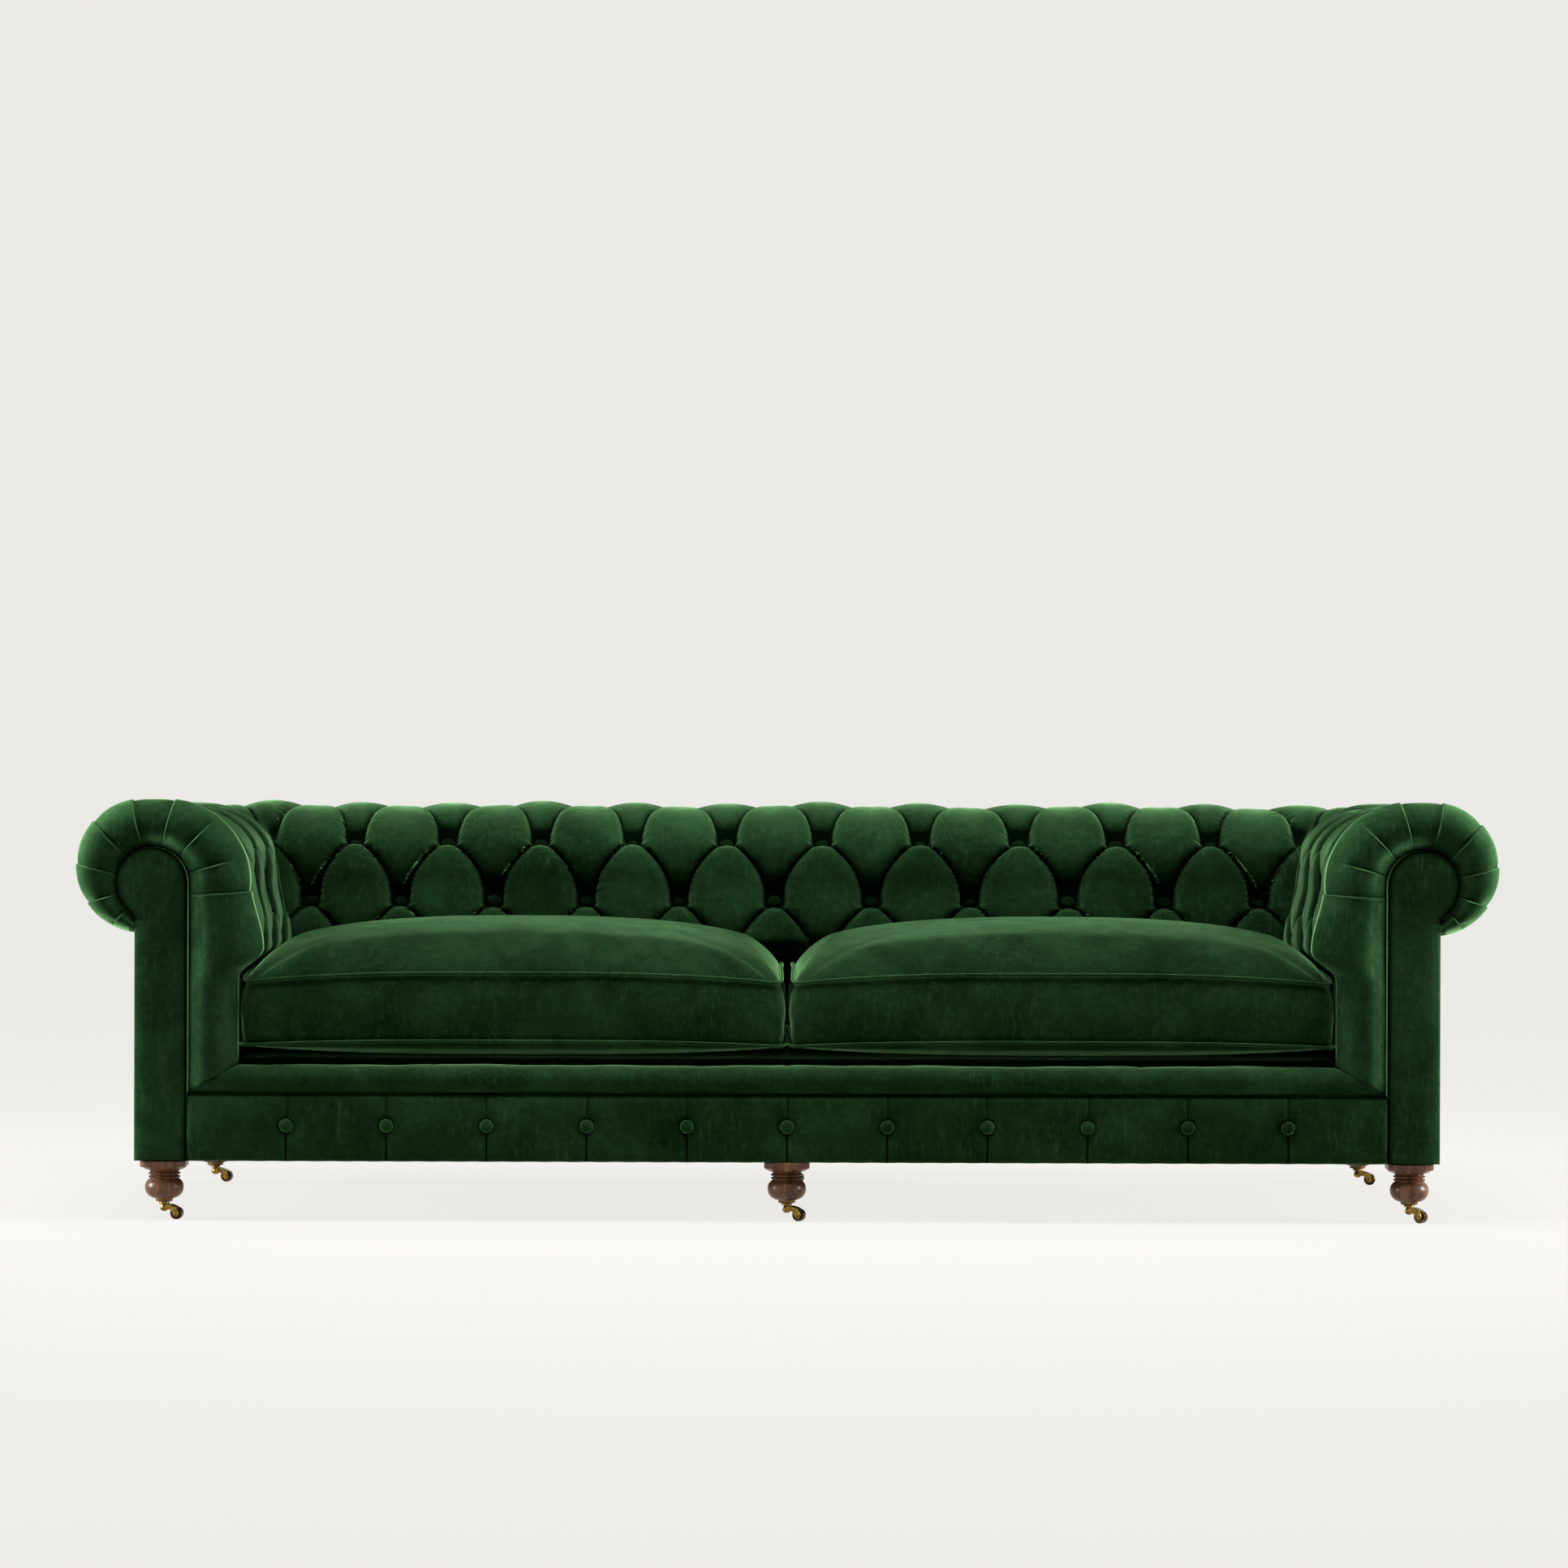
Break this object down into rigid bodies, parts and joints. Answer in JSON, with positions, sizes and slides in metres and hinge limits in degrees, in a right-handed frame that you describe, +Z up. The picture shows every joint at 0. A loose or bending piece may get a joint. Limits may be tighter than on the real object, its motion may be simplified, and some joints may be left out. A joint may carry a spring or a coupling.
{
  "type": "chesterfield sofa",
  "caption": "Long chesterfield sofa in dark green velvet with deep-buttoned scroll arms and back, loose seat cushions, turned walnut legs and brass casters",
  "frame": {"origin": "on the floor under the middle of the sofa", "axes": "+X to the sofa's right end as seen from the front, -Y the front where people sit, +Z up"},
  "size_m": [2.4998, 0.978, 0.739],
  "materials": {
    "velvet": "cut-pile velvet, bottle green",
    "walnut": "semi-gloss varnish",
    "frame_timber": "planed, bare",
    "brass": "aged polish",
    "spring_steel": "oiled",
    "dust_cloth": "plain black cambric"
  },
  "bodies": {
    "sofa": {"arm_facing_left": "velvet", "arm_pad_left": "velvet", "arm_border_left": "velvet", "outside_arm_left": "velvet", "arm_front_board_left": "frame_timber", "base_side_rail_left": "frame_timber", "arm_top_rail_left": "frame_timber", "back_post_left": "frame_timber", "arm_facing_right": "velvet", "arm_pad_right": "velvet", "arm_border_right": "velvet", "outside_arm_right": "velvet", "arm_front_board_right": "frame_timber", "base_side_rail_right": "frame_timber", "arm_top_rail_right": "frame_timber", "back_post_right": "frame_timber", "back_pad": "velvet", "outside_back": "velvet", "back_top_rail": "frame_timber", "base_back_rail": "frame_timber", "back_centre_post": "frame_timber", "base_front_rail": "frame_timber", "base_cross_rail": "frame_timber", "seat_springs": "spring_steel", "seat_deck": "velvet", "dust_cover": "dust_cloth", "front_lip": "velvet", "front_rail_panel": "velvet", "leg_front_left": "walnut", "caster_cup_front_left": "brass", "leg_front_centre": "walnut", "caster_cup_front_centre": "brass", "leg_front_right": "walnut", "caster_cup_front_right": "brass", "leg_rear_left": "walnut", "caster_cup_rear_left": "brass", "leg_rear_centre": "walnut", "caster_cup_rear_centre": "brass", "leg_rear_right": "walnut", "caster_cup_rear_right": "brass"},
    "cushion_left": {"seat_cushion_left": "velvet"},
    "cushion_right": {"seat_cushion_right": "velvet"},
    "swivel_front_left": {"caster_horn_front_left": "brass", "caster_axle_front_left": "brass"},
    "wheel_front_left": {"caster_wheel_front_left": "brass"},
    "swivel_front_centre": {"caster_horn_front_centre": "brass", "caster_axle_front_centre": "brass"},
    "wheel_front_centre": {"caster_wheel_front_centre": "brass"},
    "swivel_front_right": {"caster_horn_front_right": "brass", "caster_axle_front_right": "brass"},
    "wheel_front_right": {"caster_wheel_front_right": "brass"},
    "swivel_rear_left": {"caster_horn_rear_left": "brass", "caster_axle_rear_left": "brass"},
    "wheel_rear_left": {"caster_wheel_rear_left": "brass"},
    "swivel_rear_centre": {"caster_horn_rear_centre": "brass", "caster_axle_rear_centre": "brass"},
    "wheel_rear_centre": {"caster_wheel_rear_centre": "brass"},
    "swivel_rear_right": {"caster_horn_rear_right": "brass", "caster_axle_rear_right": "brass"},
    "wheel_rear_right": {"caster_wheel_rear_right": "brass"}
  },
  "joints": [
    {"name": "cushion_left_pulls_out", "type": "slide", "parent": "sofa", "child": "cushion_left", "axis": [0, -1, 0], "range_m": [0, 0.7]},
    {"name": "cushion_right_pulls_out", "type": "slide", "parent": "sofa", "child": "cushion_right", "axis": [0, -1, 0], "range_m": [0, 0.7]},
    {"name": "caster_swivel_front_left", "type": "hinge", "parent": "sofa", "child": "swivel_front_left", "pos_m": [-1.094, -0.445, 0.02], "axis": [0, 0, 1], "continuous": true},
    {"name": "caster_roll_front_left", "type": "hinge", "parent": "swivel_front_left", "child": "wheel_front_left", "pos_m": [-1.07135, -0.44899, 0.01079], "axis": [0.1736, 0.9848, 0], "continuous": true},
    {"name": "caster_swivel_front_centre", "type": "hinge", "parent": "sofa", "child": "swivel_front_centre", "pos_m": [0, -0.445, 0.02], "axis": [0, 0, 1], "continuous": true},
    {"name": "caster_roll_front_centre", "type": "hinge", "parent": "swivel_front_centre", "child": "wheel_front_centre", "pos_m": [0.02161, -0.45287, 0.01079], "axis": [0.342, 0.9397, 0], "continuous": true},
    {"name": "caster_swivel_front_right", "type": "hinge", "parent": "sofa", "child": "swivel_front_right", "pos_m": [1.094, -0.445, 0.02], "axis": [0, 0, 1], "continuous": true},
    {"name": "caster_roll_front_right", "type": "hinge", "parent": "swivel_front_right", "child": "wheel_front_right", "pos_m": [1.11284, -0.45819, 0.01079], "axis": [0.5736, 0.8192, 0], "continuous": true},
    {"name": "caster_swivel_rear_left", "type": "hinge", "parent": "sofa", "child": "swivel_rear_left", "pos_m": [-1.094, 0.333, 0.02], "axis": [0, 0, 1], "continuous": true},
    {"name": "caster_roll_rear_left", "type": "hinge", "parent": "swivel_rear_left", "child": "wheel_rear_left", "pos_m": [-1.07135, 0.32901, 0.01079], "axis": [0.1736, 0.9848, 0], "continuous": true},
    {"name": "caster_swivel_rear_centre", "type": "hinge", "parent": "sofa", "child": "swivel_rear_centre", "pos_m": [0, 0.333, 0.02], "axis": [0, 0, 1], "continuous": true},
    {"name": "caster_roll_rear_centre", "type": "hinge", "parent": "swivel_rear_centre", "child": "wheel_rear_centre", "pos_m": [0.02265, 0.32901, 0.01079], "axis": [0.1736, 0.9848, 0], "continuous": true},
    {"name": "caster_swivel_rear_right", "type": "hinge", "parent": "sofa", "child": "swivel_rear_right", "pos_m": [1.094, 0.333, 0.02], "axis": [0, 0, 1], "continuous": true},
    {"name": "caster_roll_rear_right", "type": "hinge", "parent": "swivel_rear_right", "child": "wheel_rear_right", "pos_m": [1.11665, 0.32901, 0.01079], "axis": [0.1736, 0.9848, 0], "continuous": true}
  ]
}
